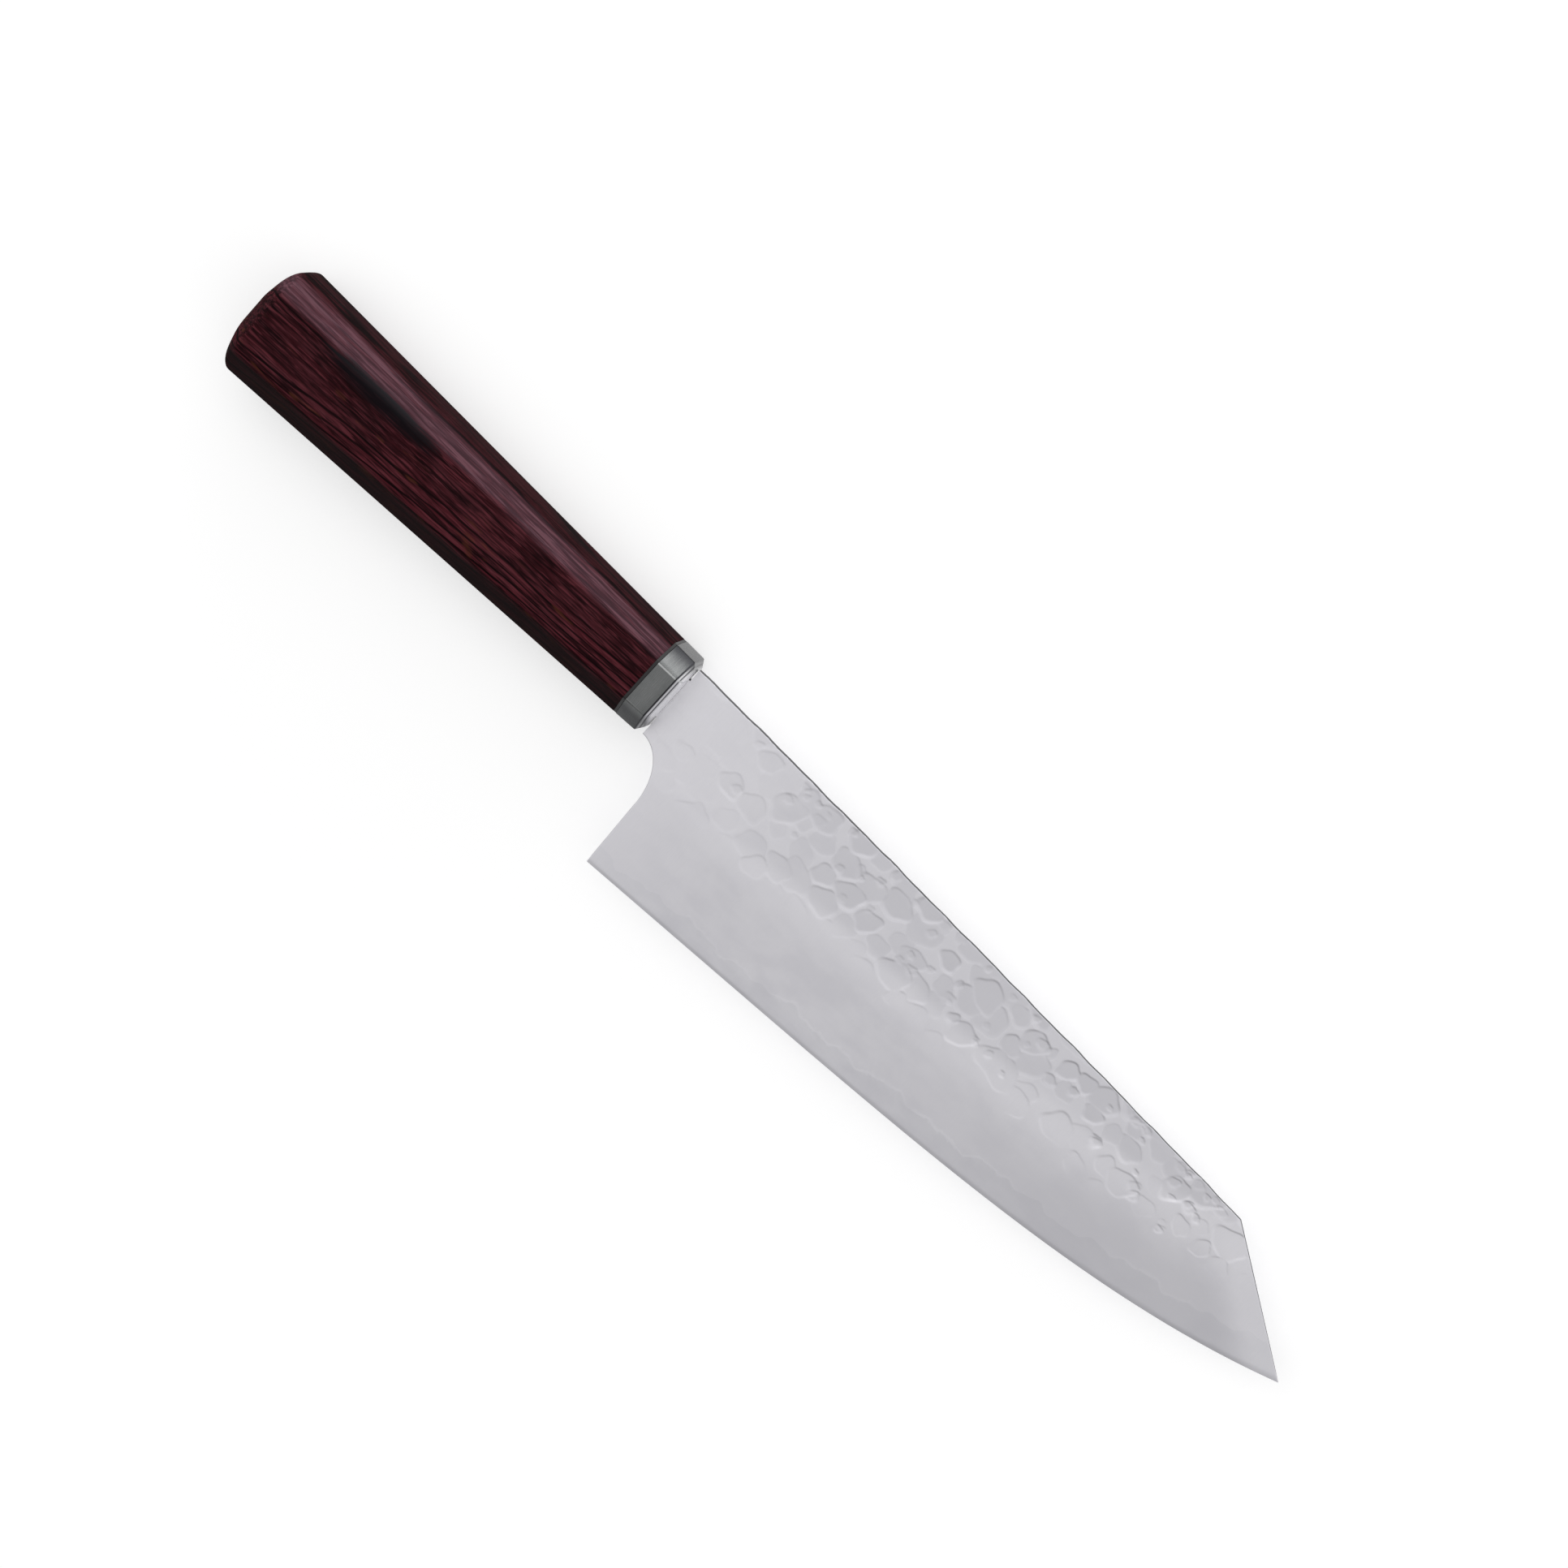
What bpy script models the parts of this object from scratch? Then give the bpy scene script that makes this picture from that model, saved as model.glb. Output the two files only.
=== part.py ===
"""Bunka kitchen knife: a three-layer blade with a hidden tang in an octagonal handle.

The pieces are drawn in metres in the knife's own frame: X runs along the handle's axis from the
butt to the tip, with zero at the ferrule's front face, Y points to the spine and Z to the right
side. An empty then lays the knife down on the left flat of its handle, with the world's origin
on the table below its middle.
"""

import math

import bmesh
import bpy
from mathutils import Matrix, Vector

# Blade outline
HEEL_X = 0.0096  # from the ferrule's front face to the heel
HEEL_DROP = 0.0383  # heel below the handle's axis
BLADE_LENGTH = 0.1796  # heel to tip, along the axis
TIP_DROP = 0.0175  # tip below the axis
BELLY_RISE = 0.0122  # how much of the edge's rise lies in its curved belly
BELLY_POWER = 4.6
TIP_SLANT_LENGTH = 0.0290  # from the spine's corner to the tip, along the axis
CORNER_RISE = 0.0023  # the spine's corner above the axis
SPINE_CROWN = 0.0004
NECK_RISE = 0.0084  # the spine above the axis at the neck
NECK_DROP = 0.0099
CHOIL_DEPTH = 0.0086  # the curve from the neck down to the heel, along the axis
CHOIL_HEIGHT = 0.0125
HEEL_LEAN = 0.0006

# Blade thickness, at full width
NECK_THICKNESS = 0.0020
CORNER_THICKNESS = 0.0013
SPINE_TAPER = 0.0002  # how much thinner the blade is at the top of its bevels than at the spine
BEVEL_HEIGHT = 0.0235
BEVEL_CONVEXITY = 0.25
EDGE_BEVEL = 0.0007
EDGE_SHOULDER = 0.00024
CORE_THICKNESS = 0.0005
WELD_GAP = 0.00004
CLADDING_FEATHER = 0.00003

# Tang
TANG_ROOT_HEIGHT = 0.0105
TANG_END_HEIGHT = 0.0065
BUTT_COVER = 0.0345  # from the tang's end to the butt

# Handle, at full height and width
HANDLE_LENGTH = 0.1204  # ferrule and spacer included
FRONT_HEIGHT = 0.0192
FRONT_WIDTH = 0.0190
FRONT_CORNER = 0.0045
BUTT_HEIGHT = 0.0271
BUTT_WIDTH = 0.0226
BUTT_CORNER = 0.0055
CORNER_ROUND = 0.0010
BUTT_DOME = 0.0050
BUTT_FLAT = 0.0020  # height of the flat left in the middle of the dome
FERRULE_LENGTH = 0.0064
FERRULE_BEVEL = 0.0012  # its length along the axis
FERRULE_INSET = 0.00175  # how far the bevel takes the front face in
FERRULE_WALL = 0.0022
SPACER_THICKNESS = 0.0006
DOWEL_DIAMETER = 0.0146
DOWEL_FLOOR = 0.0030
ADHESIVE_THICKNESS = 0.0005

FIT_GAP = 0.0003

# Smoothness
STATION_STEP = 0.0060
BEVEL_ROWS = 5
ARC_STEPS = 10
CORNER_STEPS = 3
DOME_STEPS = 6
ROUND_SIDES = 32

tip_x = HEEL_X + BLADE_LENGTH
corner_x = tip_x - TIP_SLANT_LENGTH
shoulder_x = FIT_GAP
tang_end_x = BUTT_COVER - HANDLE_LENGTH


def clear_scene():
    for thing in list(bpy.data.objects):
        bpy.data.objects.remove(thing, do_unlink=True)


def material(name, colour, roughness, metallic):
    made = bpy.data.materials.new(name)
    made.use_nodes = True
    shader = made.node_tree.nodes["Principled BSDF"]
    shader.inputs["Base Color"].default_value = (*colour, 1.0)
    shader.inputs["Roughness"].default_value = roughness
    shader.inputs["Metallic"].default_value = metallic
    return made


def add_object(name, mesh_data, parent):
    made = bpy.data.objects.new(name, mesh_data)
    bpy.context.scene.collection.objects.link(made)
    made.parent = parent
    return made


def loft(name, rings, parent):
    """A closed solid through rings that hold the same number of points."""
    bm = bmesh.new()
    loops = [[bm.verts.new(point) for point in ring] for ring in rings]
    for a, b in zip(loops, loops[1:]):
        for i, corner in enumerate(a):
            j = (i + 1) % len(a)
            bm.faces.new((corner, a[j], b[j], b[i]))
    bm.faces.new(loops[0])
    bm.faces.new(loops[-1])
    bmesh.ops.triangulate(bm, faces=bm.faces)
    bmesh.ops.recalc_face_normals(bm, faces=bm.faces)
    mesh_data = bpy.data.meshes.new(name)
    bm.to_mesh(mesh_data)
    bm.free()
    return add_object(name, mesh_data, parent)


def prism(name, outline, low, high, parent):
    """An outline in X and Y, raised from low to high along Z."""
    return loft(name, [[(x, y, z) for x, y in outline] for z in (low, high)], parent)


def cylinder(name, radius, x0, x1, parent):
    turns = [math.tau * i / ROUND_SIDES for i in range(ROUND_SIDES)]
    rings = [[(x, radius * math.cos(t), radius * math.sin(t)) for t in turns] for x in (x0, x1)]
    return loft(name, rings, parent)


def guide(thing):
    thing.hide_render = True
    thing.display_type = "WIRE"
    return thing


def combine(target, other, operation):
    modifier = target.modifiers.new(operation.lower(), "BOOLEAN")
    modifier.operation = operation
    modifier.object = guide(other)


def finish(thing, made_material, angle=30.0):
    thing.data.materials.append(made_material)
    thing.data.shade_smooth()
    thing.data.set_sharp_from_angle(angle=math.radians(angle))


# Blade


def edge_y(x):
    """The cutting edge: a straight run from the heel, and a belly that grows towards the tip."""
    along = (x - HEEL_X) / BLADE_LENGTH
    straight = HEEL_DROP - TIP_DROP - BELLY_RISE
    return -HEEL_DROP + straight * along + BELLY_RISE * max(along, 0.0) ** BELLY_POWER


def spine_y(x):
    along = (x - shoulder_x) / (corner_x - shoulder_x)
    return NECK_RISE + (CORNER_RISE - NECK_RISE) * along + 4.0 * SPINE_CROWN * along * (1.0 - along)


def spine_half(x):
    """Half the thickness at the spine, which thins from the neck to the corner."""
    along = min(max((x - shoulder_x) / (corner_x - shoulder_x), 0.0), 1.0)
    return 0.5 * (NECK_THICKNESS + (CORNER_THICKNESS - NECK_THICKNESS) * along)


def bevel_top_half(x):
    return spine_half(x) - 0.5 * SPINE_TAPER


def bevel_half(x, share):
    """Half the thickness on the convex bevel, from its foot at 0 to its top at 1."""
    foot = 0.5 * EDGE_SHOULDER
    bulge = share + BEVEL_CONVEXITY * share * (1.0 - share)
    return foot + (bevel_top_half(x) - foot) * bulge


def bevel_share(x, half):
    """The place on the bevel that has a given half thickness."""
    foot = 0.5 * EDGE_SHOULDER
    wanted = (half - foot) / (bevel_top_half(x) - foot)
    slope = 1.0 + BEVEL_CONVEXITY
    root = math.sqrt(slope * slope - 4.0 * BEVEL_CONVEXITY * wanted)
    return (slope - root) / (2.0 * BEVEL_CONVEXITY)


def bevel_point(x, share):
    height = EDGE_BEVEL + (BEVEL_HEIGHT - EDGE_BEVEL) * share
    return edge_y(x) + height, bevel_half(x, share)


def top_point(x):
    """A point well past the spine, on the flat that leads up from the bevel."""
    flat_height = NECK_RISE + HEEL_DROP - BEVEL_HEIGHT
    above = 2.0 * flat_height
    return edge_y(x) + BEVEL_HEIGHT + above, bevel_top_half(x) + 0.5 * SPINE_TAPER * above / flat_height


def core_ring(x):
    half = 0.5 * CORE_THICKNESS
    last = bevel_share(x, half)
    side = [bevel_point(x, last * i / 2.0) for i in range(3)]
    side.append((top_point(x)[0], half))
    ring = [(x, edge_y(x), 0.0)]
    ring += [(x, y, z) for y, z in side]
    ring += [(x, y, -z) for y, z in reversed(side)]
    return ring


def cladding_ring(x, hand):
    inner = 0.5 * CORE_THICKNESS + WELD_GAP
    first = bevel_share(x, inner + CLADDING_FEATHER)
    side = [bevel_point(x, first + (1.0 - first) * i / BEVEL_ROWS) for i in range(BEVEL_ROWS + 1)]
    side.append(top_point(x))
    ring = [(x, side[0][0], inner)] + [(x, y, z) for y, z in side] + [(x, side[-1][0], inner)]
    return [(px, py, hand * pz) for px, py, pz in ring]


def blade_stations():
    """Stations from behind the tang's end to past the tip."""
    count = math.ceil((tip_x - HEEL_X) / STATION_STEP)
    return [tang_end_x - STATION_STEP, 0.0] + [HEEL_X + STATION_STEP * i for i in range(count + 2)]


def blade_outline():
    """The side view of tang and blade, which runs on below the cutting edge."""
    below = -HEEL_DROP - STATION_STEP
    lean = HEEL_LEAN / (HEEL_DROP - NECK_DROP - CHOIL_HEIGHT)
    slant = TIP_SLANT_LENGTH / (CORNER_RISE + TIP_DROP)
    points = [(tang_end_x, -0.5 * TANG_END_HEIGHT), (shoulder_x, -0.5 * TANG_ROOT_HEIGHT)]
    points.append((shoulder_x, -NECK_DROP))
    for i in range(ARC_STEPS + 1):
        turn = 0.5 * math.pi * i / ARC_STEPS
        x = HEEL_X - HEEL_LEAN - CHOIL_DEPTH * (1.0 - math.sin(turn))
        points.append((x, -NECK_DROP - CHOIL_HEIGHT * (1.0 - math.cos(turn))))
    points.append((HEEL_X - lean * (below + HEEL_DROP), below))
    points.append((tip_x - slant * (below + TIP_DROP), below))
    for i in range(ARC_STEPS + 1):
        x = corner_x + (shoulder_x - corner_x) * i / ARC_STEPS
        points.append((x, spine_y(x)))
    points += [(shoulder_x, 0.5 * TANG_ROOT_HEIGHT), (tang_end_x, 0.5 * TANG_END_HEIGHT)]
    return points


def make_blade(parent):
    side_view = prism("blade_outline", blade_outline(), -NECK_THICKNESS, NECK_THICKNESS, parent)
    stations = blade_stations()
    core = loft("blade_core", [core_ring(x) for x in stations], parent)
    combine(core, side_view, "INTERSECT")
    finish(core, material("core_steel", (0.63, 0.62, 0.66), 0.42, 1.0), 10.0)
    for side, hand in (("right", 1.0), ("left", -1.0)):
        layer = loft(f"blade_cladding_{side}", [cladding_ring(x, hand) for x in stations], parent)
        combine(layer, side_view, "INTERSECT")
        finish(layer, material(f"cladding_steel_{side}", (0.66, 0.65, 0.69), 0.44, 1.0), 10.0)


# Tang


def tang_half_height(x):
    along = (x - shoulder_x) / (tang_end_x - shoulder_x)
    return 0.5 * (TANG_ROOT_HEIGHT + (TANG_END_HEIGHT - TANG_ROOT_HEIGHT) * along)


def around_tang(name, clearance, x0, x1, parent):
    """A tapered bar that follows the tang with the same clearance all round."""
    z = 0.5 * NECK_THICKNESS + clearance
    rings = []
    for x in (x0, x1):
        y = tang_half_height(x) + clearance
        rings.append([(x, y, z), (x, -y, z), (x, -y, -z), (x, y, -z)])
    return loft(name, rings, parent)


# Handle


def handle_section(x, inset=0.0):
    """Height, width and corner cut of the octagon at x, taken in by an inset on every facet."""
    along = -x / HANDLE_LENGTH
    height = FRONT_HEIGHT + (BUTT_HEIGHT - FRONT_HEIGHT) * along
    width = FRONT_WIDTH + (BUTT_WIDTH - FRONT_WIDTH) * along
    corner = FRONT_CORNER + (BUTT_CORNER - FRONT_CORNER) * along
    return height - 2.0 * inset, width - 2.0 * inset, corner - (2.0 - math.sqrt(2.0)) * inset


def octagon(x, inset=0.0, scale=1.0, at=None):
    """The rounded octagon of the handle at x, drawn at x or at another place along the axis."""
    height, width, corner = handle_section(x, inset)
    h, w = 0.5 * height, 0.5 * width
    corners = [(h, w - corner), (h - corner, w), (corner - h, w), (-h, w - corner)]
    corners += [(-y, -z) for y, z in corners]
    points = []
    for i, here in enumerate(corners):
        before = (Vector(corners[i - 1]) - Vector(here)).normalized()
        after = (Vector(corners[(i + 1) % len(corners)]) - Vector(here)).normalized()
        half_angle = 0.5 * before.angle(after)
        centre = Vector(here) + (before + after).normalized() * CORNER_ROUND / math.sin(half_angle)
        start = Vector(here) + before * CORNER_ROUND / math.tan(half_angle) - centre
        sweep = math.pi - 2.0 * half_angle
        for k in range(CORNER_STEPS + 1):
            points.append(centre + Matrix.Rotation(sweep * k / CORNER_STEPS, 2) @ start)
    place = x if at is None else at
    return [(place, scale * y, scale * z) for y, z in points]


def make_handle(parent):
    spacer_front = -FERRULE_LENGTH - FIT_GAP
    wood_front = spacer_front - SPACER_THICKNESS - FIT_GAP
    dome_front = BUTT_DOME - HANDLE_LENGTH
    sleeve_end = tang_end_x - FIT_GAP - ADHESIVE_THICKNESS
    dowel_front = -FERRULE_WALL - FIT_GAP
    dowel_end = sleeve_end - FIT_GAP - DOWEL_FLOOR
    bore_radius = 0.5 * DOWEL_DIAMETER + FIT_GAP

    flat = BUTT_FLAT / BUTT_HEIGHT
    rings = [octagon(wood_front)]
    for i in range(DOME_STEPS + 1):
        turn = 0.5 * math.pi * i / DOME_STEPS
        x = dome_front - BUTT_DOME * math.sin(turn)
        rings.append(octagon(dome_front, 0.0, flat + (1.0 - flat) * math.cos(turn), x))
    body = loft("handle_body", rings, parent)
    ferrule_rings = [octagon(-FERRULE_LENGTH), octagon(-FERRULE_BEVEL)]
    ferrule_rings.append(octagon(-FERRULE_BEVEL, FERRULE_INSET, 1.0, 0.0))
    ferrule = loft("ferrule", ferrule_rings, parent)
    spacer = loft("ferrule_spacer", [octagon(spacer_front), octagon(spacer_front - SPACER_THICKNESS)], parent)
    bore = cylinder("dowel_bore", bore_radius, -FERRULE_WALL, dowel_end - FIT_GAP, parent)
    for piece in (body, ferrule, spacer):
        combine(piece, bore, "DIFFERENCE")
    slot = around_tang("ferrule_slot", FIT_GAP, FIT_GAP, -FERRULE_WALL - FIT_GAP, parent)
    combine(ferrule, slot, "DIFFERENCE")

    dowel = cylinder("tang_dowel", 0.5 * DOWEL_DIAMETER, dowel_front, dowel_end, parent)
    pocket_clearance = 2.0 * FIT_GAP + ADHESIVE_THICKNESS
    pocket = around_tang("dowel_pocket", pocket_clearance, 0.0, sleeve_end - FIT_GAP, parent)
    combine(dowel, pocket, "DIFFERENCE")
    sleeve = around_tang("tang_adhesive", FIT_GAP + ADHESIVE_THICKNESS, dowel_front, sleeve_end, parent)
    hollow = around_tang("adhesive_hollow", FIT_GAP, 0.0, tang_end_x - FIT_GAP, parent)
    combine(sleeve, hollow, "DIFFERENCE")

    finish(body, material("dyed_laminated_wood", (0.040, 0.009, 0.013), 0.42, 0.0), 20.0)
    finish(ferrule, material("satin_steel", (0.17, 0.175, 0.175), 0.36, 1.0), 20.0)
    finish(spacer, material("black_fibre", (0.010, 0.010, 0.011), 0.50, 0.0), 20.0)
    finish(dowel, material("hardwood", (0.48, 0.32, 0.18), 0.65, 0.0), 20.0)
    finish(sleeve, material("cured_adhesive", (0.58, 0.46, 0.25), 0.35, 0.0), 20.0)


def lay_down(holder):
    """Turns the tapered handle's left flat level, and centres the knife over the origin."""
    taper = math.atan(0.5 * (BUTT_WIDTH - FRONT_WIDTH) / HANDLE_LENGTH)
    middle_x = 0.5 * (tip_x - HANDLE_LENGTH)
    middle_y = 0.5 * (0.5 * BUTT_HEIGHT - HEEL_DROP)
    holder.rotation_euler = (0.0, taper, 0.0)
    holder.location = (-middle_x * math.cos(taper), -middle_y, 0.5 * FRONT_WIDTH * math.cos(taper))


def main():
    clear_scene()
    holder = add_object("lying_knife", None, None)
    lay_down(holder)
    make_blade(holder)
    make_handle(holder)


main()
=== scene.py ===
"""Bunka kitchen knife: hammered clad blade, steel ferrule and octagonal laminated handle.

Lengths are in metres. The knife is drawn in its own frame: X along the handle's axis to the tip,
zero at the ferrule's front face, Y to the spine and Z to the right side. LAY turns it onto the
left flat of its handle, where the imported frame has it.
"""

import math

import bmesh
import bpy
import numpy as np
from mathutils import Matrix, Vector


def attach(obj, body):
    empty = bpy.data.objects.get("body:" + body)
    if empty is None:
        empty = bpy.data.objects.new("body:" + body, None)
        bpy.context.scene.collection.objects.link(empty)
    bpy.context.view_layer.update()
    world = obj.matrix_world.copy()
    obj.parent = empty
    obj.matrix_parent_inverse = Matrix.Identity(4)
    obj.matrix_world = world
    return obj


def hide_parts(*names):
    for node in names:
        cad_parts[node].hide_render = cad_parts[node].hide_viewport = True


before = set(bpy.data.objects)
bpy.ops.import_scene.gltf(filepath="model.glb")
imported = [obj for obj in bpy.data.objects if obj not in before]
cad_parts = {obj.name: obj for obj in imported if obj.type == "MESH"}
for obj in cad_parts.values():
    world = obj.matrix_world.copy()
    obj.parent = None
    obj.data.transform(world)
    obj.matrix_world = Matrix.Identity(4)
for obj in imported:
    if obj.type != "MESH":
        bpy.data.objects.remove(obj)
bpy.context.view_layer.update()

# Blade outline
HEEL_X = 0.0096
HEEL_DROP = 0.0383
BLADE_LENGTH = 0.1796
TIP_DROP = 0.0175
BELLY_RISE = 0.0122
BELLY_POWER = 4.6
TIP_SLANT_LENGTH = 0.0290
CORNER_RISE = 0.0023
SPINE_CROWN = 0.0004
NECK_RISE = 0.0084
NECK_DROP = 0.0099
CHOIL_DEPTH = 0.0086
CHOIL_HEIGHT = 0.0125
HEEL_LEAN = 0.0006
SPINE_INSET = 0.00010
SPINE_WAVES = ((0.013, 0.00005), (0.0077, 0.00004), (0.031, 0.00004))
SPINE_SEED = 5

# Blade thickness
NECK_THICKNESS = 0.0020
CORNER_THICKNESS = 0.0013
SPINE_TAPER = 0.0002
BEVEL_HEIGHT = 0.0235
BEVEL_CONVEXITY = 0.25
EDGE_BEVEL = 0.0007
EDGE_SHOULDER = 0.00024
CORE_THICKNESS = 0.0005
EASED_EDGE = 0.00016
TIP_EASING = 0.00001
GRIND_BLEND = 0.00001

# Weld line between cladding and core
WELD_PLACE = 0.84
WELD_WAVES = ((0.0290, 0.0005), (0.0131, 0.00045), (0.0072, 0.00035), (0.0041, 0.0002))
WELD_SEED = 11
LAYER_GAP = 0.00001
THINNEST_WALL = 0.00004
CORE_STEP = 0.00005

# Hammer marks. Rows and columns have a first place, a last place and a step, other pairs are ranges.
MARK_ROWS = (-0.0158, 0.0125, 0.0050)
MARK_COLUMNS = (-0.0040, 0.1720, 0.0066)
MARK_STRAY = (0.0019, 0.0014)
ROW_RISE = 0.0018
ROW_LENGTH = 0.160
MARK_REACH = (0.0023, 0.0043)
MARK_TURN = (-0.7, 0.9)
MARK_LEANS = ((-0.30, 0.30), (-0.35, 0.15))
MARK_WALLS = (0.13, 0.34)
MARK_OVAL = 1.12
SHALLOWEST_MARK = 0.00002
ADDED_DEPTH = 0.00010
MARKS_START = 0.010
MARKS_FADE = 0.045
FADED_SHARE = 0.30
RIGHT_SEED = 3
LEFT_SEED = 8

# Nicks between the hammer marks and the spine
NICK_COUNT = 70
NICKS_END = 0.158
NICK_BELOW_SPINE = 0.0012
NICK_SPREAD = 0.014
NICK_REACH = (0.0008, 0.0018)
NICK_TURN = (-0.9, 1.1)
NICK_DEPTH = (0.00003, 0.00009)
NICK_WALLS = (0.16, 1.0)
NICKS_FADE = 0.1

# Tang
TANG_ROOT_HEIGHT = 0.0105
TANG_END_HEIGHT = 0.0065
BUTT_COVER = 0.0345

# Handle
HANDLE_LENGTH = 0.1204
FRONT_HEIGHT = 0.0192
FRONT_WIDTH = 0.0190
FRONT_CORNER = 0.0045
BUTT_HEIGHT = 0.0271
BUTT_WIDTH = 0.0226
BUTT_CORNER = 0.0055
BUTT_DOME = 0.0050
BUTT_FLAT = 0.0020
FERRULE_LENGTH = 0.0064
FERRULE_BEVEL = 0.0012
FERRULE_INSET = 0.00175
FERRULE_WALL = 0.0022
SPACER_THICKNESS = 0.0006
DOWEL_DIAMETER = 0.0146
FIT_GAP = 0.0003
FACET_CROWN = 0.00012
CROWN_REACH = 0.006
FRONT_RIDGE_RADIUS = 0.0012
RIDGE_SOFTENING = 0.0022
FERRULE_RIDGE_RADIUS = 0.0006
SPACER_RIDGE_RADIUS = 0.0008
FERRULE_EASED_EDGE = 0.00012
WOOD_EASED_EDGE = 0.00010
SPACER_INSET = 0.00008

# Fineness of the meshes
CLOSE_STEPS = np.array([0.0, 0.00006, 0.00014, 0.00026, 0.00045])
END_MARGIN = 0.0009
MIDDLE_COLUMNS = 620
LOW_ROWS = 10
HIGH_ROWS = 118
ROW_SPAN = 0.030
CHOIL_COLUMNS = 25
RIDGE_STEPS = 5
FACET_STEPS = 6
HANDLE_RINGS = 40
DOME_RINGS = 18

tip_x = HEEL_X + BLADE_LENGTH
corner_x = tip_x - TIP_SLANT_LENGTH
shoulder_x = FIT_GAP
tang_end_x = BUTT_COVER - HANDLE_LENGTH
choil_x = HEEL_X - HEEL_LEAN
choil_y = -NECK_DROP - CHOIL_HEIGHT
bore = 0.5 * DOWEL_DIAMETER + FIT_GAP

taper = math.atan(0.5 * (BUTT_WIDTH - FRONT_WIDTH) / HANDLE_LENGTH)
middle_x = 0.5 * (tip_x - HANDLE_LENGTH)
middle_y = 0.5 * (0.5 * BUTT_HEIGHT - HEEL_DROP)
LAY = Matrix.Translation(
    (-middle_x * math.cos(taper), -middle_y, 0.5 * FRONT_WIDTH * math.cos(taper))
) @ Matrix.Rotation(taper, 4, "Y")


# Blade surface


def edge_y(x):
    along = np.maximum((x - HEEL_X) / BLADE_LENGTH, 0.0)
    straight = HEEL_DROP - TIP_DROP - BELLY_RISE
    return -HEEL_DROP + straight * along + BELLY_RISE * along**BELLY_POWER


def spine_y(x):
    along = (x - shoulder_x) / (corner_x - shoulder_x)
    crown = 4.0 * SPINE_CROWN * along * (1.0 - along)
    return NECK_RISE + (CORNER_RISE - NECK_RISE) * along + crown


def bevel_top_half(x):
    """Half the thickness where the ground bevel ends."""
    along = np.clip((x - shoulder_x) / (corner_x - shoulder_x), 0.0, 1.0)
    spine = 0.5 * (NECK_THICKNESS + (CORNER_THICKNESS - NECK_THICKNESS) * along)
    return spine - 0.5 * SPINE_TAPER


def ground_half(x, height):
    """Half the thickness of the ground bevel at a height above the cutting edge."""
    foot = 0.5 * EDGE_SHOULDER
    share = (height - EDGE_BEVEL) / (BEVEL_HEIGHT - EDGE_BEVEL)
    share = np.clip(share, 0.0, 2.0)
    bulge = share + BEVEL_CONVEXITY * share * (1.0 - share)
    ground = foot + (bevel_top_half(x) - foot) * bulge
    return np.where(height < EDGE_BEVEL, foot * np.maximum(height, 0.0) / EDGE_BEVEL, ground)


def forged_half(x, height):
    """Half the thickness of the plate before its bevel was ground."""
    flat_height = NECK_RISE + HEEL_DROP - BEVEL_HEIGHT
    return bevel_top_half(x) + 0.5 * SPINE_TAPER * (height - BEVEL_HEIGHT) / flat_height


def soft_max(a, b, width):
    return 0.5 * (a + b + np.sqrt((a - b) ** 2 + width**2))


def hammer_marks(x, y, seed):
    """Depth of the hammer marks: flat-bottomed facets side by side, and nicks nearer the spine."""
    rng = np.random.default_rng(seed)
    stray_x, stray_y = MARK_STRAY
    depth = np.zeros_like(x)
    for row, centre_y in enumerate(np.arange(*MARK_ROWS)):
        offset = 0.5 * MARK_COLUMNS[2] * (row % 2)
        for centre_x in np.arange(*MARK_COLUMNS):
            cx = centre_x + offset + rng.uniform(-stray_x, stray_x)
            cy = centre_y + ROW_RISE * cx / ROW_LENGTH + rng.uniform(-stray_y, stray_y)
            reach = rng.uniform(*MARK_REACH)
            turn = rng.uniform(*MARK_TURN)
            from_neck = min(max((cx - MARKS_START) / MARKS_FADE, 0.0), 1.0)
            deep = SHALLOWEST_MARK + ADDED_DEPTH * rng.uniform(0.0, 1.0) ** 1.5
            deep *= FADED_SHARE + (1.0 - FADED_SHARE) * from_neck
            leans = [rng.uniform(*lean) for lean in MARK_LEANS]
            mark = facet(x, y, (cx, cy), reach, turn, leans, MARK_WALLS)
            depth = np.maximum(depth, deep * mark)
    for _ in range(NICK_COUNT):
        cx = NICKS_END * rng.uniform(0.05, 1.0) ** 0.7
        below = NICK_SPREAD * rng.uniform(0.0, 1.0) ** 1.6
        cy = float(spine_y(cx)) - NICK_BELOW_SPINE - below
        reach = rng.uniform(*NICK_REACH)
        turn = rng.uniform(*NICK_TURN)
        deep = rng.uniform(*NICK_DEPTH) * min(FADED_SHARE + cx / NICKS_FADE, 1.0)
        depth += deep * facet(x, y, (cx, cy), reach, turn, (0.0, 0.0), NICK_WALLS)
    return depth


def facet(x, y, centre, reach, turn, leans, walls):
    """A turned oval mark with a leaning flat bottom, a steep wall to the spine and a soft one below."""
    cx, cy = centre
    u = ((x - cx) * math.cos(turn) + (y - cy) * math.sin(turn)) / (MARK_OVAL * reach)
    v = ((y - cy) * math.cos(turn) - (x - cx) * math.sin(turn)) * MARK_OVAL / reach
    around = np.arctan2(v, u)
    bulges = 0.09 * np.sin(3.0 * around + 40.0 * turn) + 0.05 * np.sin(5.0 * around + 70.0 * turn)
    radius = np.hypot(u, v) * (1.0 + bulges)
    steep, soft = walls
    upward = np.clip(0.5 + 0.9 * (y - cy) / reach, 0.0, 1.0)
    share = np.clip((1.0 - radius) / (soft + (steep - soft) * upward), 0.0, 1.0)
    bottom = 1.0 + leans[0] * u + leans[1] * v
    return share**2 * (3.0 - 2.0 * share) * bottom


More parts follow.
